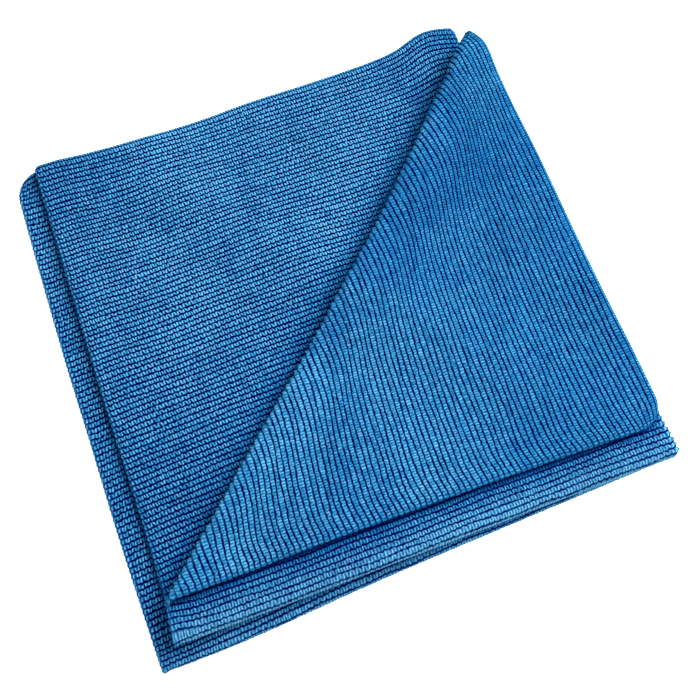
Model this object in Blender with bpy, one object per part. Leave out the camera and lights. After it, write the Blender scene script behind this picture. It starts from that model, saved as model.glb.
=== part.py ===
"""Ribbed microfibre cloth, folded in quarters, with its top corner turned back on the diagonal.

The cloth is laid out flat first: u runs along the ribs, v across them and w up through the sheet.
Three folds then carry every flat point to its place in the folded cloth:
  1. along the ribs: the half with v < 0 goes up and over the other half (front side);
  2. across the ribs: the half with u > 0 goes up and over the rest (right side);
  3. along the diagonal: the free corner of the top layer goes over to the front right.
Last, the layers are opened a little here and there, so that the pile swells as soft cloth does.
The knit's ribs run along u. They are raised in the faces that lie open: each has a row of points on its
crest and another in the groove beside it.
Lengths are in metres. X runs along the front side, Y to the back and Z up.
"""

import math

import bmesh
import bpy
import numpy as np

# The sheet
HALF_SIDE = 0.200          # half of the cloth's nominal side
SHEET = 0.0022             # thickness of the knit
GAP = 0.0004               # space between two layers that lie on each other
PITCH = SHEET + GAP        # from one layer to the next
HEM_BAND = 0.0026          # width of the pressed edge
HEM_RIM = 0.0013           # thickness at the very edge

# The ribs
RIB_PITCH = 0.0021
RIB_DEPTH = 0.00045        # from a crest down to a groove
CREASED_ANGLES = (math.radians(15), math.radians(60))  # edges of the flat sheet that stay crisp

# Real hems: (place along the hem, distance from the middle of the flat cloth)
LEFT_HEM = ((-0.205, 0.1968), (-0.160, 0.1976), (-0.120, 0.1977), (-0.090, 0.1973), (-0.050, 0.1971),
            (-0.020, 0.1963), (0.000, 0.1955), (0.100, 0.1962), (0.200, 0.1960))
RIGHT_HEM = ((-0.200, 0.2015), (-0.100, 0.1988), (0.000, 0.1956), (0.010, 0.1955), (0.022, 0.1950),
             (0.040, 0.1943), (0.065, 0.1932), (0.100, 0.1925), (0.150, 0.1918), (0.200, 0.1914))
OUTER_HEM = ((-0.200, 0.1955), (-0.100, 0.1925), (0.000, 0.1880), (0.008, 0.1870), (0.013, 0.1887),
             (0.022, 0.1940), (0.040, 0.1961), (0.065, 0.1977), (0.085, 0.1983), (0.110, 0.1990),
             (0.150, 0.2003), (0.175, 0.2017), (0.200, 0.2024))
INNER_HEM = ((-0.200, 0.2055), (-0.150, 0.2030), (-0.100, 0.2018), (-0.050, 0.2000), (0.000, 0.1988),
             (0.020, 0.1998), (0.035, 0.1982), (0.050, 0.1983), (0.080, 0.1990), (0.110, 0.1990),
             (0.130, 0.1980), (0.150, 0.1972), (0.168, 0.1964), (0.180, 0.1971), (0.190, 0.1985),
             (0.200, 0.1990))

# Corner radii by the signs of u and v
CORNERS = {(-1, 1): 0.0090, (-1, -1): 0.0115, (1, -1): 0.0025, (1, 1): 0.0085}

# The folds, seen from above
FRONT_AXIS_Y = -0.1005     # axis of the first fold, along X
RIGHT_AXIS_X = 0.0943      # axis of the second fold where it meets the front side
FRONT_SIDE_Y = -0.1025     # the front side, where RIGHT_AXIS_X is taken
RIGHT_FOLD_TILT = math.radians(0.9)   # the second fold leans right towards the back
CREASE_FRONT = (-0.0907, -0.0833)     # two points on the axis of the diagonal crease
CREASE_BACK = (0.0959, 0.0863)
CREASE_BOW = 0.0034        # sideways bow of the crease at its middle
CREASE_BOW_SKEW = 0.0006   # more of the bow lies towards the back
CREASE_BOW_REACH = 0.045

MIDDLE_X = 0.00027         # the middle of the folded cloth in these measures; it is moved to the origin
MIDDLE_Y = -0.00203

# Fold heights and neutral radii follow from the sheet and the gap
FRONT_AXIS_Z = SHEET + GAP / 2
RIGHT_AXIS_Z = 2 * SHEET + 1.5 * GAP
CREASE_AXIS_Z = 4 * SHEET + 3.5 * GAP
SINGLE_RADIUS = (SHEET + GAP) / 2     # of one layer that turns on itself
DOUBLE_RADIUS = SHEET + GAP           # of two layers that turn together

# Sideways pulls: the side of u and of v that they act on (0 for both), centre x, y, reach along x, y,
# and the shift along x, y
PULLS = (
    (0, 0, 0.0980, -0.0950, 0.030, 0.060, -0.0010, 0.0000),
    (0, -1, 0.0960, 0.0930, 0.030, 0.030, -0.0045, 0.0000),
    (0, -1, 0.0850, 0.0930, 0.016, 0.030, 0.0000, 0.0016),
    (0, 1, 0.0980, 0.0870, 0.020, 0.020, 0.0018, -0.0010),
    (-1, 0, -0.0750, -0.1030, 0.040, 0.014, 0.0000, -0.0016),
)

# Soft swells: gap above which layer (1 is the lowest), centre x, y, reach along x, y, height
SWELLS = (
    (1, 0.000, -0.1030, 1.000, 0.012, 0.0006),
    (3, 0.000, -0.1000, 1.000, 0.012, 0.0010),
    (1, 0.0970, 0.000, 0.012, 1.000, 0.0005),
    (2, 0.0970, 0.000, 0.014, 1.000, 0.0008),
    (1, 0.0950, 0.0950, 0.050, 0.040, 0.0018),
    (2, 0.0950, 0.0950, 0.045, 0.038, 0.0042),
    (3, 0.0900, 0.0850, 0.050, 0.040, 0.0006),
    (2, -0.0750, 0.0980, 0.026, 0.022, 0.0018),
    (1, -0.0900, 0.0900, 0.040, 0.040, 0.0008),
)

# Long waves in each gap: gap, wavelength along x and y, phase along x and y (turns), height
WAVES = (
    (1, 0.110, 0.150, 0.10, 0.30, 0.0003),
    (1, 0.065, 0.090, 0.55, 0.75, 0.0002),
    (2, 0.085, 0.120, 0.35, 0.05, 0.0005),
    (2, 0.058, 0.075, 0.80, 0.40, 0.0003),
    (3, 0.095, 0.130, 0.60, 0.85, 0.0003),
    (4, 0.120, 0.080, 0.20, 0.15, 0.0005),
    (4, 0.056, 0.066, 0.90, 0.50, 0.0003),
)

# The turned-back corner stands a little off the layer under it along the crease
CREASE_SWELL = 0.0012
CREASE_SWELL_REACH = 0.016
# and hangs down a little where it passes over the rounded right side
OVERHANG_DROP = 0.0012
OVERHANG_START_X = 0.0950
OVERHANG_REACH = 0.0090

# The mesh lines of the nominal square. Those across the ribs are places on u, those along them are
# numbers of ribs from the middle.
LINES_LEFT = (0.1904, 0.1840, 0.1500, 0.1120, 0.0740, 0.0360)
LINES_RIGHT = (0.0180, 0.0310, 0.0500, 0.0750, 0.1030, 0.1320, 0.1610, 0.1904)
LINES_ALONG = (10, 21, 33, 46, 58, 70, 81, 91)
FRONT_ROLL_LINES = (-2.0, -1.5, -1.0, -0.5, 0.0)
RIGHT_ROLL_STEPS = 6
CREASE_STEPS = 4
SNAP = 0.00008             # a cut this close to a mesh corner goes through it

# Where the ribs lie open
OPEN_BAND = 0.0273         # the top layer, up to this far from its front fold
OPEN_LOWER_FRONT = 0.0126  # the lower pair, up to this far from its front fold
OPEN_LOWER_LEFT = 0.1840   # the lower pair, from here to its left hem
OPEN_DIAGONAL = 0.2030     # the upper faces, where a + slant * |b| is over this
OPEN_SLANT = 1.08

CLOTH_COLOUR = (0.022, 0.150, 0.365, 1.0)
CLOTH_ROUGHNESS = 0.95


def clear_scene():
    """Remove whatever the file holds."""
    for thing in list(bpy.data.objects):
        bpy.data.objects.remove(thing, do_unlink=True)


def smooth_table(table, places):
    """Read a short table as a smooth curve through its rows."""
    knots = np.array([row[0] for row in table])
    values = np.array([row[1] for row in table])
    slopes = np.gradient(values, knots)
    row = np.clip(np.searchsorted(knots, places) - 1, 0, len(knots) - 2)
    span = knots[row + 1] - knots[row]
    t = np.clip((places - knots[row]) / span, 0.0, 1.0)
    rise = 3 * t ** 2 - 2 * t ** 3
    start_bend = span * slopes[row] * t * (1 - t) ** 2
    end_bend = span * slopes[row + 1] * t ** 2 * (1 - t)
    return values[row] * (1 - rise) + values[row + 1] * rise + start_bend - end_bend


def round_corners(a, b):
    """Draw the corners of the nominal square in to arcs."""
    a = a.copy()
    b = b.copy()
    for (side_a, side_b), radius in CORNERS.items():
        across = (a * side_a - (HALF_SIDE - radius)) / radius
        along = (b * side_b - (HALF_SIDE - radius)) / radius
        near = (across > 0) & (along > 0)
        x, y = across[near], along[near]
        a[near] = side_a * (HALF_SIDE - radius + radius * x * np.sqrt(1 - y ** 2 / 2))
        b[near] = side_b * (HALF_SIDE - radius + radius * y * np.sqrt(1 - x ** 2 / 2))
    return a, b


def shape_flat(a, b):
    """Carry points of the nominal square to the real flat cloth, with its uneven hems."""
    a, b = round_corners(a, b)
    outer = smooth_table(OUTER_HEM, a)
    inner = smooth_table(INNER_HEM, a)
    reach_v = np.where(b > 0, outer, inner) - HALF_SIDE
    v = b + np.sign(b) * reach_v * (b / HALF_SIDE) ** 2
    left = smooth_table(LEFT_HEM, v)
    right = smooth_table(RIGHT_HEM, v)
    reach_u = np.where(a > 0, right, left) - HALF_SIDE
    u = a + np.sign(a) * reach_u * (a / HALF_SIDE) ** 2
    lean = math.tan(RIGHT_FOLD_TILT) * np.abs(v) * (1 - np.abs(a) / HALF_SIDE)
    return u + lean, v


def fold_over(points, moving, origin, normal, axis_height, neutral_radius):
    """Roll the moving points that lie past a fold's axis up round it and back over the pile."""
    past = (points[:, 0] - origin[0]) * normal[0] + (points[:, 1] - origin[1]) * normal[1]
    turned = moving & (past > 0)
    s = past[turned]
    below = axis_height - points[turned, 2]
    angle = np.clip(s / neutral_radius, 0.0, math.pi)
    straight = np.maximum(s - math.pi * neutral_radius, 0.0)
    shift = below * np.sin(angle) - straight - s
    folded = points.copy()
    folded[turned, 0] += shift * normal[0]
    folded[turned, 1] += shift * normal[1]
    folded[turned, 2] = axis_height - below * np.cos(angle)
    return folded


def crease_frame():
    """Give the crease's start, direction, length and the normal that points at its free side."""
    start = np.array(CREASE_FRONT)
    run = np.array(CREASE_BACK) - start
    length = np.hypot(*run)
    direction = run / length
    return start, direction, length, np.array((-direction[1], direction[0]))


def above_gap(z, gap):
    """Rise from 0 below a gap between the close layers to 1 above it."""
    return np.clip((z - (gap * PITCH - GAP)) / GAP, 0.0, 1.0)


def bow_crease(points):
    """Bow the crease, and the top layer near it, towards the front right."""
    start, direction, length, normal = crease_frame()
    along = (points[:, :2] - start) @ direction / length
    off = (points[:, :2] - start) @ normal
    turn = math.pi * np.clip(along, 0.0, 1.0)
    bow = CREASE_BOW * np.sin(turn) - CREASE_BOW_SKEW * np.sin(2 * turn)
    bow *= np.exp(-(off / CREASE_BOW_REACH) ** 2) * above_gap(points[:, 2], 3)
    points[:, :2] -= bow[:, None] * normal


def pull_layers(points, u, v):
    """Shift parts of the layers sideways by smooth amounts."""
    x, y = points[:, 0].copy(), points[:, 1].copy()
    for side_u, side_v, centre_x, centre_y, reach_x, reach_y, shift_x, shift_y in PULLS:
        weight = np.exp(-((x - centre_x) / reach_x) ** 2 - ((y - centre_y) / reach_y) ** 2)
        weight[(u * side_u < 0) | (v * side_v < 0)] = 0.0
        points[:, 0] += shift_x * weight
        points[:, 1] += shift_y * weight


def swell_layers(points):
    """Open the gaps between the layers by smooth amounts, so that they stay in their order."""
    x, y, z = points.T.copy()
    lift = np.zeros(len(points))
    for gap, centre_x, centre_y, reach_x, reach_y, height in SWELLS:
        bump = np.exp(-((x - centre_x) / reach_x) ** 2 - ((y - centre_y) / reach_y) ** 2)
        lift += height * bump * above_gap(z, gap)
    for gap, length_x, length_y, phase_x, phase_y, height in WAVES:
        wave_x = np.sin(2 * math.pi * (x / length_x + phase_x))
        wave = wave_x * np.sin(2 * math.pi * (y / length_y + phase_y))
        lift += height * (1 + wave) * above_gap(z, gap)
    start, _, _, normal = crease_frame()
    off = (points[:, :2] - start) @ normal
    lift += CREASE_SWELL * np.exp(-(off / CREASE_SWELL_REACH) ** 2) * above_gap(z, 4)
    hang = np.clip((x - OVERHANG_START_X) / OVERHANG_REACH, 0.0, 1.0)
    lift -= OVERHANG_DROP * hang ** 2 * above_gap(z, 4)
    points[:, 2] += lift


def fold_cloth(u, v, w):
    """Carry points of the flat cloth to their places in the folded cloth."""
    points = np.stack((u, v, w), axis=-1)
    every = np.ones(len(points), dtype=bool)
    points = fold_over(points, every, (0, 0), (0, -1), FRONT_AXIS_Z, SINGLE_RADIUS)
    points[:, 0] += RIGHT_AXIS_X
    points[:, 1] += FRONT_AXIS_Y
    right_normal = (math.cos(RIGHT_FOLD_TILT), -math.sin(RIGHT_FOLD_TILT))
    right_origin = (RIGHT_AXIS_X, FRONT_SIDE_Y)
    points = fold_over(points, every, right_origin, right_normal, RIGHT_AXIS_Z, DOUBLE_RADIUS)
    start, _, _, normal = crease_frame()
    top_layer = (u > math.pi * DOUBLE_RADIUS / 2) & (v > 0)
    points = fold_over(points, top_layer, start, normal, CREASE_AXIS_Z, SINGLE_RADIUS)
    bow_crease(points)
    pull_layers(points, u, v)
    swell_layers(points)
    return points - (MIDDLE_X, MIDDLE_Y, 0.0)


def lines_across():
    """Give the places of the mesh lines along u, from hem to hem."""
    roll = np.linspace(0.0, math.pi * DOUBLE_RADIUS, RIGHT_ROLL_STEPS + 1)
    left = [-place for place in (HALF_SIDE, HALF_SIDE - HEM_BAND) + LINES_LEFT]
    return left + list(roll) + list(LINES_RIGHT) + [HALF_SIDE - HEM_BAND, HALF_SIDE]


def lines_along():
    """Give the places of the mesh lines along v, from hem to hem."""
    numbers = [-number for number in reversed(LINES_ALONG)] + list(FRONT_ROLL_LINES) + list(LINES_ALONG)
    between = [number * RIB_PITCH for number in numbers]
    return [-HALF_SIDE, HEM_BAND - HALF_SIDE] + between + [HALF_SIDE - HEM_BAND, HALF_SIDE]


def lies_open(face, place):
    """Tell whether a face of the flat sheet lies open in the folded cloth at a place along v."""
    a = face.calc_center_median().x
    if face.normal.z > 0.5:
        return a > math.pi * DOUBLE_RADIUS and a + OPEN_SLANT * abs(place) > OPEN_DIAGONAL
    if face.normal.z < -0.5:
        roll_start = FRONT_ROLL_LINES[0] * RIB_PITCH
        if a > 0:
            return roll_start < place < OPEN_BAND
        return place < 0 and (place > -OPEN_LOWER_FRONT or a < -OPEN_LOWER_LEFT)
    return False


def with_outline(faces):
    """Give faces together with their edges and corners."""
    edges = {edge for face in faces for edge in face.edges}
    corners = {corner for face in faces for corner in face.verts}
    return faces + list(edges) + list(corners)


def cut_ribs(sheet, rows):
    """Cut the open faces along every crest and groove."""
    for low, high in zip(rows, rows[1:]):
        faces = [face for face in sheet.faces if low < face.calc_center_median().y < high]
        first = math.floor(low / (RIB_PITCH / 2) + 0.5) + 1
        last = math.ceil(high / (RIB_PITCH / 2) - 0.5) - 1
        for step in range(first, last + 1):
            place = step * RIB_PITCH / 2
            opened = [face for face in faces if lies_open(face, place)]
            if not opened:
                continue
            cut = bmesh.ops.bisect_plane(sheet, geom=with_outline(opened), dist=SNAP,
                                         plane_co=(0, place, 0), plane_no=(0, 1, 0))
            parts = [part for part in cut["geom"] if isinstance(part, bmesh.types.BMFace)]
            above = [face for face in parts if face.calc_center_median().y > place]
            faces = [face for face in faces if face not in opened] + above


def press_grooves(sheet):
    """Press in the grooves of the open faces and thin the sheet towards its very edge."""
    for corner in sheet.verts:
        on_hem = max(abs(corner.co.x), abs(corner.co.y)) > HALF_SIDE - SNAP
        upper = corner.co.z > SHEET / 2
        if on_hem:
            corner.co.z = HEM_RIM if upper else 0.0
        elif any(lies_open(face, face.calc_center_median().y) for face in corner.link_faces):
            share = abs(2 * (corner.co.y / RIB_PITCH - round(corner.co.y / RIB_PITCH)))
            corner.co.z += -RIB_DEPTH * share if upper else RIB_DEPTH * share


def reflect_in_right_fold(point):
    """Give the flat place (u, v) of a point of the top layer, seen from above."""
    normal = np.array((math.cos(RIGHT_FOLD_TILT), -math.sin(RIGHT_FOLD_TILT)))
    middle = np.array((RIGHT_AXIS_X, FRONT_SIDE_Y)) + normal * math.pi * DOUBLE_RADIUS / 2
    flat = point - 2 * np.dot(point - middle, normal) * normal
    return flat - np.array((RIGHT_AXIS_X, FRONT_AXIS_Y))


def cut_crease_lines(sheet):
    """Cut the top layer's quarter of the flat sheet along the lines where the crease bends."""
    start, direction, length, normal = crease_frame()
    for step in range(CREASE_STEPS + 1):
        offset = normal * (math.pi * SINGLE_RADIUS * step / CREASE_STEPS)
        near = reflect_in_right_fold(start + offset)
        far = reflect_in_right_fold(start + offset + direction * length)
        run = far - near
        quarter = [face for face in sheet.faces
                   if face.calc_center_median().x > 0 and face.calc_center_median().y > 0]
        bmesh.ops.bisect_plane(sheet, geom=with_outline(quarter), dist=SNAP,
                               plane_co=(near[0], near[1], 0), plane_no=(-run[1], run[0], 0))


def flat_sheet():
    """Make the nominal square as a closed sheet."""
    columns = lines_across()
    rows = lines_along()
    sheet = bmesh.new()
    layers = [[[sheet.verts.new((a, b, height)) for a in columns] for b in rows] for height in (0.0, SHEET)]
    lower, upper = layers
    last_row, last_column = len(rows) - 1, len(columns) - 1
    for row in range(last_row):
        for column in range(last_column):
            sheet.faces.new((upper[row][column], upper[row][column + 1],
                             upper[row + 1][column + 1], upper[row + 1][column]))
            sheet.faces.new((lower[row + 1][column], lower[row + 1][column + 1],
                             lower[row][column + 1], lower[row][column]))
    for column in range(last_column):
        sheet.faces.new((lower[0][column], lower[0][column + 1], upper[0][column + 1], upper[0][column]))
        sheet.faces.new((upper[last_row][column], upper[last_row][column + 1],
                         lower[last_row][column + 1], lower[last_row][column]))
    for row in range(last_row):
        sheet.faces.new((upper[row][0], upper[row + 1][0], lower[row + 1][0], lower[row][0]))
        sheet.faces.new((lower[row][last_column], lower[row + 1][last_column],
                         upper[row + 1][last_column], upper[row][last_column]))
    sheet.normal_update()
    cut_ribs(sheet, rows)
    press_grooves(sheet)
    return sheet


def build_cloth():
    """Shape the flat sheet, fold it and make it the cloth."""
    sheet = flat_sheet()
    u, v = shape_flat(np.array([corner.co.x for corner in sheet.verts]),
                      np.array([corner.co.y for corner in sheet.verts]))
    for corner, place_u, place_v in zip(sheet.verts, u, v):
        corner.co.x = place_u
        corner.co.y = place_v
    cut_crease_lines(sheet)
    bmesh.ops.triangulate(sheet, faces=sheet.faces[:])
    sheet.normal_update()
    for edge in sheet.edges:
        edge.smooth = not CREASED_ANGLES[0] < edge.calc_face_angle() < CREASED_ANGLES[1]
    for face in sheet.faces:
        face.smooth = True
    flat = np.array([corner.co[:] for corner in sheet.verts])
    folded = fold_cloth(flat[:, 0], flat[:, 1], flat[:, 2])
    for corner, place in zip(sheet.verts, folded):
        corner.co = place
    mesh = bpy.data.meshes.new("cloth")
    sheet.to_mesh(mesh)
    sheet.free()
    cloth = bpy.data.objects.new("cloth", mesh)
    bpy.context.scene.collection.objects.link(cloth)
    return cloth


def knit_material():
    """Make the blue of the microfibre knit."""
    material = bpy.data.materials.new("blue microfibre knit")
    material.use_nodes = True
    shader = material.node_tree.nodes["Principled BSDF"]
    shader.inputs["Base Color"].default_value = CLOTH_COLOUR
    shader.inputs["Roughness"].default_value = CLOTH_ROUGHNESS
    shader.inputs["Metallic"].default_value = 0.0
    return material


def main():
    clear_scene()
    cloth = build_cloth()
    cloth.data.materials.append(knit_material())


main()
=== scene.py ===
"""The looks of the ribbed microfibre cloth: one knitted sheet, folded in quarters, a corner turned back.

The knit is meshed flat first. a runs along the ribs, b across them, on the nominal square, and w up through
the sheet. Every rib has a row of points on its crest and one on each side of its groove, and every stitch a
column. The same three folds as in the solid then carry the sheet to its place.
Each point keeps six numbers for the material. "knit" holds its stitch, its rib and its place in the hem, and
"stretch_shade_corner" how far a fold stretches the knit there, which also sets a painted highlight and sheen
on the folds' outsides, how much painted shade an edge that lies on it puts there, and how far it lies into
the turned-back corner.
Lengths are in metres.
"""

import math

import bmesh
import bpy
import numpy as np
from mathutils import Matrix, Vector
from mathutils.kdtree import KDTree


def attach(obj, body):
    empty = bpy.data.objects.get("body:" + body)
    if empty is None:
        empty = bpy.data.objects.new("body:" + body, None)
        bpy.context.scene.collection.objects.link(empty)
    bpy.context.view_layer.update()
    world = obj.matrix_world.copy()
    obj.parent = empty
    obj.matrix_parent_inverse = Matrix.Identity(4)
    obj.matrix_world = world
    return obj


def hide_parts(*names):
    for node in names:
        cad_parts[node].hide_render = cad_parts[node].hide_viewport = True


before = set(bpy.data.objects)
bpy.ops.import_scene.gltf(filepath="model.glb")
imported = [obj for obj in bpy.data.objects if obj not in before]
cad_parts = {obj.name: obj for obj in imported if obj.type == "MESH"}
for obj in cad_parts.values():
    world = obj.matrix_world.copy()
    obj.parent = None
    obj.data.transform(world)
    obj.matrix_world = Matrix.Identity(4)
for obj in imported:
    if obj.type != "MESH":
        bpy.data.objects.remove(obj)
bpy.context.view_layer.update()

# The sheet
HALF_SIDE = 0.200          # half of the cloth's nominal side
SHEET = 0.0022             # thickness of the knit
GAP = 0.0004               # space between two layers that lie on each other
PITCH = SHEET + GAP        # from one layer to the next
HEM_BAND = 0.0026          # width of the pressed edge
HEM_RIM = 0.0013           # thickness at the very edge
TINY = 0.000001            # less than any step of the mesh

# The knit
RIB_PITCH = 0.0021
RIB_DEPTH = 0.00055        # from a crest down to a groove
GROOVE_EDGE = 0.40         # from a crest to the edge of its groove, in ribs
GROOVE_SIDE = 0.30         # a mesh point further than this from a crest lies in the groove, in ribs
STITCHES = 348             # stitches along a rib, from hem to hem
STITCH = 2 * (HALF_SIDE - HEM_BAND) / STITCHES
RIBS_EACH_WAY = 94         # from the middle of the cloth to the hem
BLOCK = 12                 # mesh cells along each side of a block

# The hem: its mesh lines, from the edge to its inner side, and how far they are pressed in
HEM_LINES = (0.0, 0.0009, 0.0018, HEM_BAND)
HEM_ENDS = (0.0009, 0.00025, 0.00035, 0.0)    # the upper face, where ribs end
HEM_SIDES = (0.0012, 0.00060, 0.00015, 0.0)   # and along the ribs
HEM_LOWER = (0.0, 0.00010, 0.00030, 0.0)      # the lower face

# The knit's unevenness
SEED = 7
YARN_SWING = 0.00024       # a groove swings this far to each side, one way at each stitch
CORNER_SWING = 0.00012     # and this far in the turned-back corner
YARN_BULGE = 0.00008       # every second stitch stands this much higher
GROOVE_DRIFT = 0.00022     # each groove wanders this far along its way
DEPTH_CHANGE = 0.30        # and its depth changes by this share
DRIFT_STEP = 7.3           # one groove's drift is this many ribs from the next one's in its waves
DEPTH_STEP = 3.7           # and its change of depth this many
STITCH_SLIP = 0.45         # the stitches of a rib slip this far along it, in stitches
END_BUMP = 0.00026         # a rib's end stands this far out of the hem
UNEVEN_SHIFT = 0.00009     # single stitches lie off their line by about this much
UNEVEN_DEPTH = 0.00008     # and deeper by about this much
RIPPLES = 5                # a drift, change or slip is the sum of this many waves
RIPPLE_LENGTHS = (0.009, 0.060)
RIB_TURNS = (0.01, 0.30)   # how far a wave moves on from one rib to the next, in turns

# Where the outside of a fold stretches the knit and a painted highlight and sheen lie on it: how much (up to
# 1), the middle in the flat cloth, the reach
CREASE_STRETCH_HIGHLIGHT = (1.00, 0.0078, 0.0010)      # measured from the start of the crease's roll
FRONT_STRETCH_HIGHLIGHT = (0.35, 0.0, 0.0060)          # across the front rolls
# the rim along the upper front roll's edge is mostly a painted highlight
ROLL_STRETCH_HIGHLIGHT = (0.80, -0.0016, 0.0008)       # along the edge of the upper front roll
SIDE_STRETCH_HIGHLIGHT = (0.45, 0.0, 0.0070)           # on the outer roll at the right

# Painted shade: the pile is painted darker beside an edge that lies on it
EDGE_SHADE = 0.66          # close beside any edge
EDGE_REACH = 0.0014
CORNER_SHADE = 0.28        # further off, beside the turned-back corner
PAIR_SHADE = 0.06          # and beside the upper pair of layers
WIDE_REACH = 0.0080
SHADE_FALL = 0.35          # a height counts as this share of the same distance sideways
EDGE_LINE = 0.0008         # mesh points this near to the line of an edge stand for it

# The turned-back corner, from the start of the crease's roll in the flat cloth
CORNER_START = 0.0040      # its open face starts here
CORNER_FADE = 0.0030       # and has its own knit after this distance
CREASE_EDGE = 0.0075       # the crease's outer edge

# Real hems: (place along the hem, distance from the middle of the flat cloth)
LEFT_HEM = ((-0.205, 0.1968), (-0.160, 0.1976), (-0.120, 0.1977), (-0.090, 0.1973), (-0.050, 0.1971),
            (-0.020, 0.1963), (0.000, 0.1955), (0.100, 0.1962), (0.200, 0.1960))
RIGHT_HEM = ((-0.200, 0.2015), (-0.100, 0.1988), (0.000, 0.1956), (0.010, 0.1955), (0.022, 0.1950),
             (0.040, 0.1943), (0.065, 0.1932), (0.100, 0.1925), (0.150, 0.1918), (0.200, 0.1914))
OUTER_HEM = ((-0.200, 0.1955), (-0.100, 0.1925), (0.000, 0.1880), (0.008, 0.1862), (0.013, 0.1890),
             (0.018, 0.1927), (0.022, 0.1938), (0.030, 0.1945), (0.040, 0.1957), (0.065, 0.1977),
             (0.085, 0.1983), (0.110, 0.1990), (0.150, 0.2003), (0.175, 0.2017), (0.200, 0.2024))
INNER_HEM = ((-0.200, 0.2055), (-0.150, 0.2030), (-0.100, 0.2018), (-0.050, 0.2000), (0.000, 0.1988),
             (0.020, 0.1998), (0.035, 0.1982), (0.050, 0.1983), (0.080, 0.1990), (0.110, 0.1990),
             (0.130, 0.1980), (0.150, 0.1972), (0.168, 0.1964), (0.180, 0.1971), (0.190, 0.1985),
             (0.200, 0.1990))

# Corner radii by the signs of a and b
CORNERS = {(-1, 1): 0.0090, (-1, -1): 0.0115, (1, -1): 0.0025, (1, 1): 0.0115}

# The folds, seen from above
FRONT_AXIS_Y = -0.1005     # axis of the first fold, along X
RIGHT_AXIS_X = 0.0943      # axis of the second fold where it meets the front side
FRONT_SIDE_Y = -0.1025     # the front side, where RIGHT_AXIS_X is taken
RIGHT_FOLD_TILT = math.radians(0.9)   # the second fold leans right towards the back
CREASE_FRONT = (-0.0907, -0.0833)     # two points on the axis of the diagonal crease
CREASE_BACK = (0.0959, 0.0863)
CREASE_BOW = 0.0034        # sideways bow of the crease at its middle
CREASE_BOW_SKEW = 0.0006   # more of the bow lies towards the back
CREASE_BOW_REACH = 0.045   # across the crease
MIDDLE_X = 0.00027         # the middle of the folded cloth in these measures; it is moved to the origin
MIDDLE_Y = -0.00203

# Fold heights and neutral radii follow from the sheet and the gap
FRONT_AXIS_Z = SHEET + GAP / 2
RIGHT_AXIS_Z = 2 * SHEET + 1.5 * GAP
CREASE_AXIS_Z = 4 * SHEET + 3.5 * GAP
SINGLE_RADIUS = (SHEET + GAP) / 2     # of one layer that turns on itself
DOUBLE_RADIUS = SHEET + GAP           # of two layers that turn together
FRONT_ROLL_END = math.pi * SINGLE_RADIUS     # length of the front roll in the flat cloth
RIGHT_ROLL_END = math.pi * DOUBLE_RADIUS     # and of the outer roll at the right

# Sideways pulls: the side of u and of v that they act on (0 for both), centre x, y, reach along x, y,
# and the shift along x, y
PULLS = (
    (0, 0, 0.0980, -0.0950, 0.030, 0.060, -0.0010, 0.0000),
    (0, -1, 0.0960, 0.0930, 0.030, 0.030, -0.0045, 0.0000),
    (0, -1, 0.0850, 0.0930, 0.016, 0.030, 0.0000, 0.0038),
    (1, 1, 0.0865, 0.0830, 0.007, 0.007, -0.0005, 0.0014),
    (0, 1, 0.0980, 0.0870, 0.020, 0.020, 0.0013, -0.0010),
    (-1, 0, -0.0750, -0.1030, 0.040, 0.014, 0.0000, -0.0016),
)

# Soft swells: gap above which layer (1 is the lowest), centre x, y, reach along x, y, height
SWELLS = (
    (1, 0.000, -0.1030, 1.000, 0.012, 0.0006),
    (3, 0.000, -0.1000, 1.000, 0.012, 0.0010),
    (1, 0.0970, 0.000, 0.012, 1.000, 0.0005),
    (2, 0.0970, 0.000, 0.014, 1.000, 0.0008),
    (1, 0.0950, 0.0950, 0.050, 0.040, 0.0018),
    (2, 0.0950, 0.0950, 0.045, 0.038, 0.0042),
    (3, 0.0900, 0.0850, 0.050, 0.040, 0.0006),
    (2, -0.0750, 0.0980, 0.026, 0.022, 0.0018),
    (1, -0.0900, 0.0900, 0.040, 0.040, 0.0008),
)

# Long waves in each gap: gap, wavelength along x and y, phase along x and y (turns), height
WAVES = (
    (1, 0.110, 0.150, 0.10, 0.30, 0.0003),
    (1, 0.065, 0.090, 0.55, 0.75, 0.0002),
    (2, 0.085, 0.120, 0.35, 0.05, 0.0005),
    (2, 0.058, 0.075, 0.80, 0.40, 0.0003),
    (3, 0.095, 0.130, 0.60, 0.85, 0.0003),
    (4, 0.120, 0.080, 0.20, 0.15, 0.0005),
    (4, 0.056, 0.066, 0.90, 0.50, 0.0003),
)

# The turned-back corner stands a little off the layer under it along the crease
CREASE_SWELL = 0.0012
CREASE_SWELL_REACH = 0.016
# and hangs down a little where it passes over the rounded right side
OVERHANG_DROP = 0.0012
OVERHANG_START_X = 0.0950
OVERHANG_REACH = 0.0090
# At the far right the layer under it is tucked down along the crease
TUCK = 0.0026
TUCK_REACH = 0.013         # across the crease
TUCK_PLACE = (0.088, 0.083)
TUCK_SPREAD = 0.030        # round this place

# Where the ribs lie open, on the nominal square. The crease's roll starts on the same diagonal.
OPEN_DIAGONAL = 0.2030     # the upper face, where a + slant * |b| is over this
OPEN_SLANT = 1.08
OPEN_BAND = 0.0251         # the lower face's top layer, up to this far from the front fold
OPEN_FRONT = 0.0126        # its lower pair, up to this far from the front fold at the left
OPEN_LEFT = 0.1840         # and from here to the left hem

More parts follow.
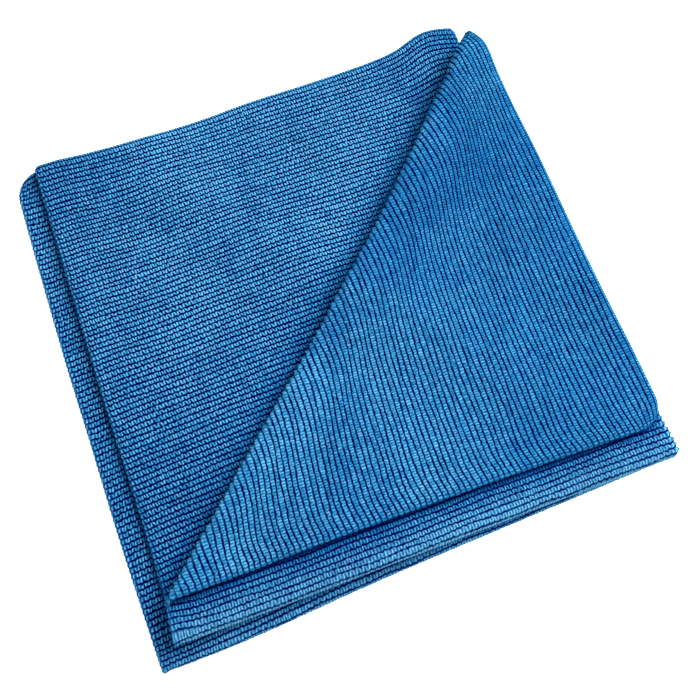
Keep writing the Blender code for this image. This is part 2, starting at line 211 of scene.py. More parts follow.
# Bends of the ribs in the turned-back corner: distance from the crease, place on b, reach of each and shift
RIB_BENDS = (
    (0.012, 0.045, 0.010, 0.022, 0.0024),
    (0.020, 0.085, 0.012, 0.022, 0.0020),
    (0.020, 0.125, 0.013, 0.022, 0.0016),
    (0.020, 0.158, 0.014, 0.022, 0.0034),
    (0.022, 0.186, 0.014, 0.020, 0.0032),
)
BEND_START = 0.008         # there are none before this place on a
BEND_FADE = 0.030          # and they come in over this distance
END_BEND = 0.0016          # the ribs bend off at their ends, towards the side
END_BEND_REACH = 0.007
LEFT_TURN = 0.0030         # on the near halves the ribs turn to the front by this much at the left hem
LEFT_TURN_START = 0.110    # from this place on a
LEFT_TURN_FADE = 0.014     # less of it this near to the front fold

# The pile's colours, from the bottom of a groove to the brightest yarn: the dark end is painted shade in the
# grooves and gaps, the bright end a painted highlight on the yarn's turns
KNIT_COLOURS = ((0.000, 0.001, 0.045, 1.0), (0.000, 0.036, 0.180, 1.0), (0.006, 0.118, 0.290, 1.0),
                (0.036, 0.222, 0.390, 1.0), (0.150, 0.420, 0.600, 1.0))
PAINTED_SHEEN_COLOUR = (0.200, 0.425, 0.525, 1.0)       # painted sheen, paler and greyer, on the outsides of the folds
PAINTED_SHEEN_SHARE = 0.32          # of that colour, at the most

# Noises in the pile: scale (features a metre), detail, roughness
FIBRE_NOISE = (1500.0, 3.0, 0.60)
GRAIN_NOISE = (900.0, 1.0, 0.50)
SPECKLE_NOISE = (420.0, 2.0, 0.50)
CRISP_NOISE = (110.0, 2.0, 0.50)
PATCH_NOISE = (38.0, 3.0, 0.55)
BROAD_NOISE = (14.0, 2.0, 0.50)

# The yarn's turns. Across a rib, 0 is its crest and 1 the middle of its groove.
FOLD_FADE = 0.5            # the knit changes within this many ribs of the first fold
LEG_LEAN = 0.15            # how far a turn leans from crest to groove, in stitches, where it was folded over
SWITCH = 0.3               # a turn changes sides while its swing (-1 to 1) is nearer to 0 than this
TURN_EDGE = 0.9            # a turn has faded out this near to a gap's middle, at 1
FAINT_TURN = 0.72          # the faintest turn's share of the brightest
CORNER_TURN = 0.50         # the turns' share in the turned-back corner

# The dark gaps between the turns, painted shade that lies by turns before and after the crest. A share is of
# a gap's full darkness.
GAP_PLACES = (0.12, 0.45)  # from the crest to a gap's middle, on the plain and on the folded-over knit
GAP_WIDTHS = (0.60, 0.75)  # half a gap's width, before and after the crest
FOLDED_WIDTH = 0.15        # wider by this on the folded-over knit
GAP_CORE = 0.3             # a gap is darkest in this share of its width
GAP_BEFORE = 0.70          # share before the crest
FAINT_GAP = 0.70           # share of the faintest gap
FAINT_PART = 0.7           # this part of the gaps is fainter than the rest
CRISP_SPAN = (0.36, 0.58)  # noise from blurred to crisp places
BLURRED_GAP = 0.60         # share in a blurred place
STRETCHED_GAP = 0.30       # share on a stretched fold
CORNER_GAP = 0.45          # share in the turned-back corner

# How light the pile is, from 0 at the bottom of a groove to 1 on the brightest yarn
PATCH_SPAN = (0.36, 0.64)  # noise from dark to pale patches
PATCH_LIGHT = (0.49, 0.61)     # light of these patches between the turns
TURN_LIGHT = 0.50          # lighter by this on the yarn's turns, a painted highlight
BAND_LIGHT = 0.04          # lighter by this on the front band, painted light
STRETCHED_FOLD_HIGHLIGHT = 0.03     # and where a fold stretches the knit, a painted highlight
CREST_EDGE = 0.48          # across a rib, the painted shade of the groove starts here
GROOVE_EDGES = (0.79, 0.87)    # to here, on the plain knit and in the turned-back corner
STRETCHED_GROOVE = 0.35    # and this much further on a stretched fold
NOISE_SPAN = (0.30, 0.70)  # usual least and most of a noise
SPECKLE = 0.06             # the light changes by this share from speckle to speckle
GRAIN = 0.16               # and by this from grain to grain

# Broad painted light and shade: part, shares of x and y in the place, first and last place, and what they add
# to the light
TONES = (
    ("corner", 1.0, 0.1, 0.10, -0.07, -0.07, 0.13),      # paler towards the left
    ("corner", 0.0, 1.0, 0.02, 0.10, 0.00, 0.12),        # and towards the back
    ("folded", 1.0, 1.0, 0.06, 0.16, 0.04, -0.04),       # darker at the far right
    ("folded", 1.0, 0.0, -0.08, -0.03, -0.06, 0.00),     # and at the left
)

# The hem: 0 is its edge and 1 its inner side
HEM_LOOPS = (0.60, 0.15)   # the pile goes over into the hem's loops from here to here
HEM_LOOP_SHARE = 0.55      # and has this share of them at the edge
HEM_LIGHT = 0.40           # light between the loops
HEM_LOOP_LIGHT = 0.55      # lighter by this on the loops
HEM_LINE = 0.62            # place of the dark line inside the hem
HEM_LINE_FADE = (0.16, 0.02)   # distances from it where it starts and where it is full
HEM_LINE_SHARE = 0.35      # share of the groove's colour in it

# The pile's surface
FIBRE_SPAN = (0.2, 0.8)    # noise from smooth to rough places
ROUGHNESS = (0.86, 1.0)
SPECULAR = 0.005
SHEEN = 0.01
SHEEN_ROUGHNESS = 0.4
SHEEN_TINT = (0.30, 0.60, 1.0, 1.0)
FIBRE_BUMP = (0.6, 0.00012)    # strength and height
GAP_BUMP = (0.9, 0.00030)

# The studio
FLOOR_HALF = 1.5
FLOOR_COLOUR = (0.93, 0.93, 0.93, 1.0)
FLOOR_ROUGHNESS = 0.9
FLOOR_GLOW_COLOUR = (1.0, 1.0, 1.0, 1.0)
FLOOR_GLOW = 0.70
SURROUNDINGS_COLOUR = (0.76, 0.88, 1.0, 1.0)
SURROUNDINGS_STRENGTH = 0.66
LIGHT_PLACE = (0.85, 0.20, 0.85)
LIGHT_SIZE = 0.75
LIGHT_WATTS = 26.5

# The camera, at the photograph's viewing angle
CAMERA_TARGET = (0.00013, -0.01807, 0.005)
CAMERA_AZIMUTH = math.radians(-21.64)
CAMERA_ELEVATION = math.radians(74.0)
CAMERA_DISTANCE = 0.2655
CAMERA_LENS = 35.17        # millimetres, on a sensor 36 mm wide
CAMERA_SENSOR = 36.0
CAMERA_NEAREST = 0.01      # nothing nearer than this is drawn


def smooth_table(table, places):
    """Read a short table as a smooth curve through its rows."""
    knots = np.array([row[0] for row in table])
    values = np.array([row[1] for row in table])
    slopes = np.gradient(values, knots)
    row = np.clip(np.searchsorted(knots, places) - 1, 0, len(knots) - 2)
    span = knots[row + 1] - knots[row]
    t = np.clip((places - knots[row]) / span, 0.0, 1.0)
    rise = 3 * t ** 2 - 2 * t ** 3
    start_bend = span * slopes[row] * t * (1 - t) ** 2
    end_bend = span * slopes[row + 1] * t ** 2 * (1 - t)
    return values[row] * (1 - rise) + values[row + 1] * rise + start_bend - end_bend


def round_corners(a, b):
    """Draw the corners of the nominal square in to arcs, as a square is mapped to a disc."""
    a = a.copy()
    b = b.copy()
    for (side_a, side_b), radius in CORNERS.items():
        across = (a * side_a - (HALF_SIDE - radius)) / radius
        along = (b * side_b - (HALF_SIDE - radius)) / radius
        near = (across > 0) & (along > 0)
        x, y = across[near], along[near]
        a[near] = side_a * (HALF_SIDE - radius + radius * x * np.sqrt(1 - y ** 2 / 2))
        b[near] = side_b * (HALF_SIDE - radius + radius * y * np.sqrt(1 - x ** 2 / 2))
    return a, b


def shape_flat(a, b):
    """Carry points of the nominal square to the real flat cloth, with its uneven hems."""
    a, b = round_corners(a, b)
    outer = smooth_table(OUTER_HEM, a)
    inner = smooth_table(INNER_HEM, a)
    further_v = np.where(b > 0, outer, inner) - HALF_SIDE
    v = b + np.sign(b) * further_v * (b / HALF_SIDE) ** 2
    left = smooth_table(LEFT_HEM, v)
    right = smooth_table(RIGHT_HEM, v)
    further_u = np.where(a > 0, right, left) - HALF_SIDE
    u = a + np.sign(a) * further_u * (a / HALF_SIDE) ** 2
    lean = math.tan(RIGHT_FOLD_TILT) * np.abs(v) * (1 - np.abs(a) / HALF_SIDE)
    return u + lean, v


def fold_over(points, moving, origin, normal, axis_height, neutral_radius):
    """Roll the moving points that lie past a fold's axis up round it and back over the pile."""
    past = (points[:, 0] - origin[0]) * normal[0] + (points[:, 1] - origin[1]) * normal[1]
    turned = moving & (past > 0)
    s = past[turned]
    below = axis_height - points[turned, 2]
    angle = np.clip(s / neutral_radius, 0.0, math.pi)
    straight = np.maximum(s - math.pi * neutral_radius, 0.0)
    shift = below * np.sin(angle) - straight - s
    folded = points.copy()
    folded[turned, 0] += shift * normal[0]
    folded[turned, 1] += shift * normal[1]
    folded[turned, 2] = axis_height - below * np.cos(angle)
    return folded


def crease_frame():
    """Give the crease's start, direction, length and the normal that points at its free side."""
    start = np.array(CREASE_FRONT)
    run = np.array(CREASE_BACK) - start
    length = np.hypot(*run)
    direction = run / length
    return start, direction, length, np.array((-direction[1], direction[0]))


def above_gap(z, gap):
    """Rise from 0 below a gap between the close layers to 1 above it."""
    return np.clip((z - (gap * PITCH - GAP)) / GAP, 0.0, 1.0)


def bow_crease(points):
    """Bow the crease, and the top layer near it, towards the front right."""
    start, direction, length, normal = crease_frame()
    along = (points[:, :2] - start) @ direction / length
    off = (points[:, :2] - start) @ normal
    turn = math.pi * np.clip(along, 0.0, 1.0)
    bow = CREASE_BOW * np.sin(turn) - CREASE_BOW_SKEW * np.sin(2 * turn)
    bow *= np.exp(-(off / CREASE_BOW_REACH) ** 2) * above_gap(points[:, 2], 3)
    points[:, :2] -= bow[:, None] * normal


def pull_layers(points, u, v):
    """Shift parts of the layers sideways by smooth amounts."""
    x, y = points[:, 0].copy(), points[:, 1].copy()
    for side_u, side_v, centre_x, centre_y, reach_x, reach_y, shift_x, shift_y in PULLS:
        weight = np.exp(-((x - centre_x) / reach_x) ** 2 - ((y - centre_y) / reach_y) ** 2)
        weight[(u * side_u < 0) | (v * side_v < 0)] = 0.0
        points[:, 0] += shift_x * weight
        points[:, 1] += shift_y * weight


def swell_layers(points):
    """Open the gaps between the layers by smooth amounts, so that they stay in their order."""
    x, y, z = points.T.copy()
    lift = np.zeros(len(points))
    for gap, centre_x, centre_y, reach_x, reach_y, height in SWELLS:
        bump = np.exp(-((x - centre_x) / reach_x) ** 2 - ((y - centre_y) / reach_y) ** 2)
        lift += height * bump * above_gap(z, gap)
    for gap, length_x, length_y, phase_x, phase_y, height in WAVES:
        wave_x = np.sin(2 * math.pi * (x / length_x + phase_x))
        wave = wave_x * np.sin(2 * math.pi * (y / length_y + phase_y))
        lift += height * (1 + wave) * above_gap(z, gap)
    start, _, _, normal = crease_frame()
    off = (points[:, :2] - start) @ normal
    lift += CREASE_SWELL * np.exp(-(off / CREASE_SWELL_REACH) ** 2) * above_gap(z, 4)
    away = np.hypot(x - TUCK_PLACE[0], y - TUCK_PLACE[1]) / TUCK_SPREAD
    tuck = TUCK * np.exp(-(off / TUCK_REACH) ** 2 - away ** 2)
    lift -= tuck * (above_gap(z, 2) - above_gap(z, 3))
    hang = np.clip((x - OVERHANG_START_X) / OVERHANG_REACH, 0.0, 1.0)
    lift -= OVERHANG_DROP * hang ** 2 * above_gap(z, 4)
    points[:, 2] += lift


def fold_cloth(u, v, w):
    """Carry points of the flat cloth to their places in the folded cloth."""
    points = np.stack((u, v, w), axis=-1)
    every = np.ones(len(points), dtype=bool)
    points = fold_over(points, every, (0, 0), (0, -1), FRONT_AXIS_Z, SINGLE_RADIUS)
    points[:, 0] += RIGHT_AXIS_X
    points[:, 1] += FRONT_AXIS_Y
    right_normal = (math.cos(RIGHT_FOLD_TILT), -math.sin(RIGHT_FOLD_TILT))
    right_origin = (RIGHT_AXIS_X, FRONT_SIDE_Y)
    points = fold_over(points, every, right_origin, right_normal, RIGHT_AXIS_Z, DOUBLE_RADIUS)
    start, _, _, normal = crease_frame()
    top_layer = (u > RIGHT_ROLL_END / 2) & (v > 0)
    points = fold_over(points, top_layer, start, normal, CREASE_AXIS_Z, SINGLE_RADIUS)
    bow_crease(points)
    pull_layers(points, u, v)
    swell_layers(points)
    return points - (MIDDLE_X, MIDDLE_Y, 0.0)


def hem_distance(a, b):
    """Give the distance from the nominal square's edge."""
    return HALF_SIDE - np.maximum(np.abs(a), np.abs(b))


def crease_distance(a, b):
    """Give the distance past the start of the crease's roll, in the flat cloth."""
    return (a + OPEN_SLANT * b - OPEN_DIAGONAL) / math.hypot(1, OPEN_SLANT)


def bend_ribs(a, b):
    """Give the places on b of points whose ribs are bent to their real runs: those of the turned-back
    corner, and those of the near halves, which turn to the front at the left."""
    off = crease_distance(a, b)
    shift = END_BEND * np.exp(-((HALF_SIDE - a) / END_BEND_REACH) ** 2)
    for from_crease, centre_b, reach_off, reach_b, size in RIB_BENDS:
        shift += size * np.exp(-((off - from_crease) / reach_off) ** 2 - ((b - centre_b) / reach_b) ** 2)
    fade = np.clip((HALF_SIDE - b) / BEND_FADE, 0.0, 1.0) * np.clip((a - BEND_START) / BEND_FADE, 0.0, 1.0)
    left = np.clip((np.abs(a) - LEFT_TURN_START) / (HALF_SIDE - LEFT_TURN_START), 0.0, 1.0)
    between = np.clip(-b / LEFT_TURN_FADE, 0.0, 1.0) * np.clip((HALF_SIDE + b) / BEND_FADE, 0.0, 1.0)
    return b + shift * fade * (b > 0) + LEFT_TURN * left ** 2 * between


def add_hems(lines):
    """Put the hem's mesh lines on both sides of the others, which reach to its inner sides."""
    hem = [HALF_SIDE - line for line in HEM_LINES[:-1]]
    return np.array([-place for place in hem] + list(lines) + hem[::-1])


def mesh_columns():
    """Give the places of all mesh columns on a: the hem's, and one for each stitch."""
    return add_hems(np.linspace(-STITCHES / 2, STITCHES / 2, STITCHES + 1) * STITCH)


def mesh_rows():
    """Give the places of all mesh rows on b: the hem's, and three for each rib."""
    ribs = [number + part for number in range(-RIBS_EACH_WAY, RIBS_EACH_WAY)
            for part in (0.0, GROOVE_EDGE, 1 - GROOVE_EDGE)] + [RIBS_EACH_WAY]
    return add_hems([rib * RIB_PITCH for rib in ribs])


def block_borders(lines):
    """Give the first and last line of every block. Full blocks meet at the middle of the cloth."""
    hem = len(HEM_LINES) - 1
    last = len(lines) - 1
    spare = (last // 2 - hem) % BLOCK
    return sorted({0, hem, last - hem, last} | set(range(hem + spare, last - hem - spare + 1, BLOCK)))


def block_detail(face, low_a, high_a, low_b, high_b):
    """Tell whether a block of a face (0 lower, 1 upper) has all its rows, and all its columns."""
    on_right_roll = low_a < RIGHT_ROLL_END and high_a > 0
    on_front_roll = low_b < 0 and high_b > -FRONT_ROLL_END
    underside = face == 0 and high_a <= 0 and low_b >= 0
    if underside:
        return True, False    # it has its ribs, but not their stitches
    if face == 1:
        reach = high_a + OPEN_SLANT * max(abs(low_b), abs(high_b))
        open_block = high_a > RIGHT_ROLL_END and reach > OPEN_DIAGONAL
    else:
        band = high_a > 0 and high_b > -FRONT_ROLL_END and low_b < OPEN_BAND
        front_reach = max(OPEN_FRONT * low_a / -HALF_SIDE, FRONT_ROLL_END)
        front = low_a < 0 and high_b > -front_reach and low_b < 0
        left = low_a < -OPEN_LEFT and low_b < 0
        side = on_right_roll and high_b > 0
        open_block = band or front or left or side
    return open_block or on_front_roll, open_block or on_right_roll


def mark_blocks(columns, rows, borders_a, borders_b):
    """Tell for each face which blocks have all their rows, and which all their columns."""
    shape = (len(borders_b) - 1, len(borders_a) - 1)
    details = np.zeros((2, 2, *shape), dtype=bool)
    for face, j, i in np.ndindex(2, *shape):
        details[face, :, j, i] = block_detail(face, columns[borders_a[i]], columns[borders_a[i + 1]],
                                              rows[borders_b[j]], rows[borders_b[j + 1]])
    # round the rim both faces have the same points, so that the strip between them fits both
    rim = np.zeros(shape, dtype=bool)
    rim[0, :] = rim[-1, :] = rim[:, 0] = rim[:, -1] = True
    return details | (rim & details.any(axis=0))


def block_faces(face, detail, borders_b, borders_a):
    """Give the polygons of one face of the sheet as lists of (row, column). A coarse block takes the points
    of a fine one on the border that they share."""
    polygons = []
    rows_of, columns_of = detail
    last_b, last_a = len(borders_b) - 2, len(borders_a) - 2
    for j in range(last_b + 1):
        for i in range(last_a + 1):
            r0, r1 = borders_b[j], borders_b[j + 1]
            c0, c1 = borders_a[i], borders_a[i + 1]
            rows = list(range(r0, r1 + 1)) if rows_of[j, i] else [r0, r1]
            columns = list(range(c0, c1 + 1)) if columns_of[j, i] else [c0, c1]
            fine_low = columns_of[j, i] or (j > 0 and columns_of[j - 1, i])
            fine_high = columns_of[j, i] or (j < last_b and columns_of[j + 1, i])
            fine_left = rows_of[j, i] or (i > 0 and rows_of[j, i - 1])
            fine_right = rows_of[j, i] or (i < last_a and rows_of[j, i + 1])
            for low, high in zip(rows, rows[1:]):
                for left, right in zip(columns, columns[1:]):
                    step_low = 1 if low == r0 and fine_low else right - left
                    step_high = 1 if high == r1 and fine_high else right - left
                    step_left = 1 if left == c0 and fine_left else high - low
                    step_right = 1 if right == c1 and fine_right else high - low
                    loop = [(low, c) for c in range(left, right, step_low)]
                    loop += [(r, right) for r in range(low, high, step_right)]
                    loop += [(high, c) for c in range(right, left, -step_high)]
                    loop += [(r, left) for r in range(high, low, -step_left)]
                    polygons.append(loop if face == 1 else loop[::-1])
    return polygons


def outline_loop(polygons):
    """Give the (row, column) points round the outline of a face, in the order that its polygons have."""
    edges = {}
    for loop in polygons:
        for start, end in zip(loop, loop[1:] + loop[:1]):
            if (end, start) in edges:
                del edges[(end, start)]
            else:
                edges[(start, end)] = True
    follow = dict(edges.keys())
    first = next(iter(follow))
    points = [first]
    while follow[points[-1]] != first:
        points.append(follow[points[-1]])
    return points


def ripple(random, along, rib):
    """Give smooth random values from about -1 to 1 along every rib."""
    total = np.zeros(len(along))
    for _ in range(RIPPLES):
        length = random.uniform(*RIPPLE_LENGTHS)
        turns = random.uniform(*RIB_TURNS) * random.choice((-1.0, 1.0))
        total += np.sin(2 * math.pi * (along / length + turns * rib + random.uniform()))
    return total / math.sqrt(RIPPLES)


def stretch_and_highlight_near(fold, places):
    """Give how far a fold stretches the knit at these places across it, which also sets the painted highlight
    and sheen there.
    """
    amount, middle, reach = fold
    return amount * np.exp(-((places - middle) / reach) ** 2)


def stretch(a, b):
    """Give how far the folds stretch the knit on their outsides, from 0 to 1, which also sets the painted
    highlight and sheen there.
    """
    on_front = stretch_and_highlight_near(FRONT_STRETCH_HIGHLIGHT, b)
    on_front = np.where(a > 0, np.maximum(on_front, stretch_and_highlight_near(ROLL_STRETCH_HIGHLIGHT, b)), on_front)
    on_outer = np.maximum(stretch_and_highlight_near(CREASE_STRETCH_HIGHLIGHT, crease_distance(a, b)), stretch_and_highlight_near(SIDE_STRETCH_HIGHLIGHT, a))
    return np.where((a > 0) & (b > 0), np.maximum(on_outer, on_front), on_front)


def shade_beside(edges, points, wide_shade):
    """Give how much painted shade the edges beside and above points put on them, from 0 to 1."""
    weights = (1.0, 1.0, SHADE_FALL)
    tree = KDTree(len(edges))
    for number, edge in enumerate(edges * weights):
        tree.insert(edge, number)
    tree.balance()
    away = np.array([tree.find(point)[2] for point in points * weights])
    return EDGE_SHADE * np.exp(-(away / EDGE_REACH) ** 2) + wide_shade * np.exp(-(away / WIDE_REACH) ** 2)


def shade_pile(points, a, b, upper):
    """Give how much painted shade the folded cloth's points get: beside the turned-back corner's crease and
    hems, and, on the lower pair of layers, beside the upper pair."""
    off = crease_distance(a, b)
    at_hem = hem_distance(a, b) < TINY
    upper_pair = a > 0
    far_part = upper_pair & (b > 0)
    corner = far_part & (off > CREASE_EDGE)
    on_crease = upper & far_part & (np.abs(off - CREASE_EDGE) < EDGE_LINE)
    on_front = ~upper & upper_pair & (np.abs(b + FRONT_ROLL_END / 2) < EDGE_LINE)
    shade = np.zeros(len(a))
    under_corner = ~(far_part & (off > CORNER_START))
    corner_edges = points[(corner & at_hem) | on_crease]
    shade[under_corner] = shade_beside(corner_edges, points[under_corner], CORNER_SHADE)
    lower_pair = a < 0
    upper_edges = points[(upper_pair & at_hem & ~corner) | on_front]
    beside_upper = shade_beside(upper_edges, points[lower_pair], PAIR_SHADE)
    shade[lower_pair] = np.maximum(shade[lower_pair], beside_upper)
    return shade


def enter_corner(a, b, upper):
    """Give how far points lie into the open face of the turned-back corner, from 0 to 1."""
    share = np.clip((crease_distance(a, b) - CORNER_START) / CORNER_FADE, 0.0, 1.0)
    return np.where((a > 0) & (b > 0) & upper, share, 0.0)


def knit_places(a, b):
    """Give each point's stitch number along its rib and its rib number across. A mesh column lies half a
    stitch on, where the yarn swings furthest, before the stitches slip."""
    random = np.random.default_rng(SEED)
    rib = b / RIB_PITCH
    slip = STITCH_SLIP * ripple(random, a, np.round(rib))
    return a / STITCH + 0.5 + slip, rib


def press_hem(upper, a, b):
    """Give how far a face is pressed in at the hems."""
    if not upper:
        return np.interp(hem_distance(a, b), HEM_LINES, HEM_LOWER)
    ends = np.interp(HALF_SIDE - np.abs(a), HEM_LINES, HEM_ENDS)
    sides = np.interp(HALF_SIDE - np.abs(b), HEM_LINES, HEM_SIDES)
    return np.minimum(np.maximum(ends, sides), SHEET - HEM_RIM)


def shape_knit(upper, a, b):
    """Give the places a, b, w of mesh points of one face, with their ribs, grooves and hem."""
    random = np.random.default_rng(SEED + 1)
    stitch, rib = knit_places(a, b)
    inside = hem_distance(a, b) > HEM_BAND - TINY
    at_end = HALF_SIDE - np.abs(a) < HEM_BAND / 2
    in_groove = np.abs(rib - np.round(rib)) > GROOVE_SIDE
    groove = np.floor(rib)
    yarn = np.sin(math.pi * stitch)     # its swing to and fro, as in the material
    swing = np.where(upper & (b > 0), CORNER_SWING, YARN_SWING)
    drift = GROOVE_DRIFT * ripple(random, a, groove * DRIFT_STEP)
    change = 1 + DEPTH_CHANGE * ripple(random, a, groove * DEPTH_STEP)
    uneven_shift = UNEVEN_SHIFT * random.normal(size=len(a))
    uneven_depth = UNEVEN_DEPTH * np.abs(random.normal(size=len(a)))
    shift = np.where(in_groove & inside, swing * yarn + drift + uneven_shift, 0.0)
    depth = np.where(in_groove, RIB_DEPTH * change, YARN_BULGE * (1 + yarn) / 2) + uneven_depth
    depth = np.where(inside, depth, press_hem(upper, a, b))
    bump = np.where(at_end & ~in_groove, END_BUMP, 0.0) * np.sign(a)
    return a + bump, b + shift, SHEET - depth if upper else depth


def flat_knit(upper, a, b):
    """Give the places u, v, w of all points in the real flat cloth."""
    knit = np.zeros((3, len(a)))
    for face in (False, True):
        chosen = upper == face
        knit[:, chosen] = shape_knit(face, a[chosen], b[chosen])
    a, b, w = knit
    return *shape_flat(a, bend_ribs(a, b)), w


def mesh_points(polygons):
    """Number the points that the faces' polygons use, each point being (face, row, column)."""
    used = dict.fromkeys((face, *point) for face in (0, 1) for loop in polygons[face] for point in loop)
    return {point: number for number, point in enumerate(used)}


def mesh_faces(polygons, numbers):
    """Give the faces of the closed sheet: the polygons of both faces, and the strip round the edge."""
    faces = [[numbers[(face, *point)] for point in loop] for face in (0, 1) for loop in polygons[face]]
    outline = outline_loop(polygons[1])
    for start, end in zip(outline, outline[1:] + outline[:1]):
        strip = ((1, *end), (1, *start), (0, *start), (0, *end))
        faces.append([numbers[point] for point in strip])
    return faces


def make_mesh(points, faces):
    """Make a smooth mesh whose faces have three or four sides."""
    mesh = bpy.data.meshes.new("cloth_knit")
    mesh.from_pydata(points.tolist(), [], faces)
    work = bmesh.new()
    work.from_mesh(mesh)
    many_sided = [face for face in work.faces if len(face.verts) > 4]
    bmesh.ops.triangulate(work, faces=many_sided)
    for face in work.faces:
        face.smooth = True
    work.to_mesh(mesh)
    work.free()
    return mesh


def keep_numbers(mesh, name, numbers):
    """Keep three numbers with each point of the mesh, for the material."""
    layer = mesh.attributes.new(name, "FLOAT_VECTOR", "POINT")
    layer.data.foreach_set("vector", np.stack(numbers, axis=-1).ravel())


def knit_sheet():
    """Mesh the flat knit and fold it."""
    columns, rows = mesh_columns(), mesh_rows()
    borders_a, borders_b = block_borders(columns), block_borders(rows)
    details = mark_blocks(columns, rows, borders_a, borders_b)
    polygons = [block_faces(face, details[face], borders_b, borders_a) for face in (0, 1)]
    numbers = mesh_points(polygons)
    face, row, column = np.array(list(numbers)).T
    a, b, upper = columns[column], rows[row], face == 1
    flat = flat_knit(upper, a, b)
    mesh = make_mesh(np.stack(flat, axis=-1), mesh_faces(polygons, numbers))
    folded = fold_cloth(*flat)
    mesh.vertices.foreach_set("co", folded.ravel())
    stitch, rib = knit_places(a, b)
    in_hem = np.clip((HALF_SIDE - np.abs(a)) / HEM_BAND, 0.0, 1.0)
    keep_numbers(mesh, "knit", (stitch, rib, in_hem))
    # painted shade beside edges, and the stretch of the folds that also sets their painted highlight and
    # sheen
    shaded = shade_pile(folded, a, b, upper)
    keep_numbers(mesh, "stretch_shade_corner", (stretch(a, b), shaded, enter_corner(a, b, upper)))
    mesh.update()
    cloth = bpy.data.objects.new("cloth_knit", mesh)
    bpy.context.scene.collection.objects.link(cloth)
    return cloth


class Nodes:
    """Makes and links the nodes of one material."""

    def __init__(self, name):
        self.material = bpy.data.materials.new(name)
        self.material.use_nodes = True
        self.tree = self.material.node_tree
        self.shader = self.tree.nodes["Principled BSDF"]

    def add(self, kind, **settings):
        """Add a node with its settings."""
        node = self.tree.nodes.new(kind)
        for name, value in settings.items():
            setattr(node, name, value)
        return node

    def put(self, socket, value):
        """Link an output to a socket, or set the socket to a plain value."""
        if isinstance(value, bpy.types.NodeSocket):
            self.tree.links.new(value, socket)
        elif value is not None:
            socket.default_value = value

    def calculate(self, operation, first, second=None):
        node = self.add("ShaderNodeMath", operation=operation)
        self.put(node.inputs[0], first)
        self.put(node.inputs[1], second)
        return node.outputs[0]

    def plus(self, first, second):
        return self.calculate("ADD", first, second)

    def minus(self, first, second):
        return self.calculate("SUBTRACT", first, second)

    def times(self, first, *others):
        """Multiply two or more values."""
        for other in others:
            first = self.calculate("MULTIPLY", first, other)
        return first

    def size(self, value):
        """Leave out a value's sign."""
        return self.calculate("ABSOLUTE", value)

    def whole(self, value):
        """Round to the nearest whole number."""
        return self.calculate("ROUND", value)

    def rest(self, share):
        """Give what a share leaves of 1."""
        return self.minus(1.0, share)

    def ramp(self, value, low, high, to_low=0.0, to_high=1.0):
        """Rise smoothly from to_low at low to to_high at high."""
        node = self.add("ShaderNodeMapRange", interpolation_type="SMOOTHSTEP")
        for name, given in (("Value", value), ("From Min", low), ("From Max", high),
                            ("To Min", to_low), ("To Max", to_high)):
            self.put(node.inputs[name], given)
        return node.outputs["Result"]

    def fade(self, value, share):
        """Fall from 1 to a share as the value rises from 0 to 1."""
        return self.ramp(value, 0.0, 1.0, 1.0, share)

    def mix(self, share, first, second):
        """Mix two colours. The node's sockets 6 and 7 and its output 2 are the ones for colours."""
        node = self.add("ShaderNodeMix", data_type="RGBA")
        self.put(node.inputs["Factor"], share)
        self.put(node.inputs[6], first)
        self.put(node.inputs[7], second)
        return node.outputs[2]

    def scale(self, value, colours):
        """Turn a value from 0 to 1 into a colour on an even scale of colours."""
        node = self.add("ShaderNodeValToRGB")
        stops = node.color_ramp.elements
        for _ in colours[2:]:
            stops.new(0.5)
        for number, colour in enumerate(colours):
            stops[number].position = number / (len(colours) - 1)
            stops[number].color = colour
        self.put(node.inputs["Fac"], value)
        return node.outputs["Color"]

    def chance(self, first, second):
        """Give a random number from 0 to 1 for each pair of whole numbers."""
        pair = self.add("ShaderNodeCombineXYZ")
        self.put(pair.inputs[0], first)
        self.put(pair.inputs[1], second)
        node = self.add("ShaderNodeTexWhiteNoise", noise_dimensions="2D")
        self.put(node.inputs["Vector"], pair.outputs[0])
        return node.outputs["Value"]

    def noise(self, vector, scale, detail, roughness):
        node = self.add("ShaderNodeTexNoise")
        self.put(node.inputs["Vector"], vector)
        self.put(node.inputs["Scale"], scale)
        self.put(node.inputs["Detail"], detail)
        self.put(node.inputs["Roughness"], roughness)
        return node.outputs["Fac"]


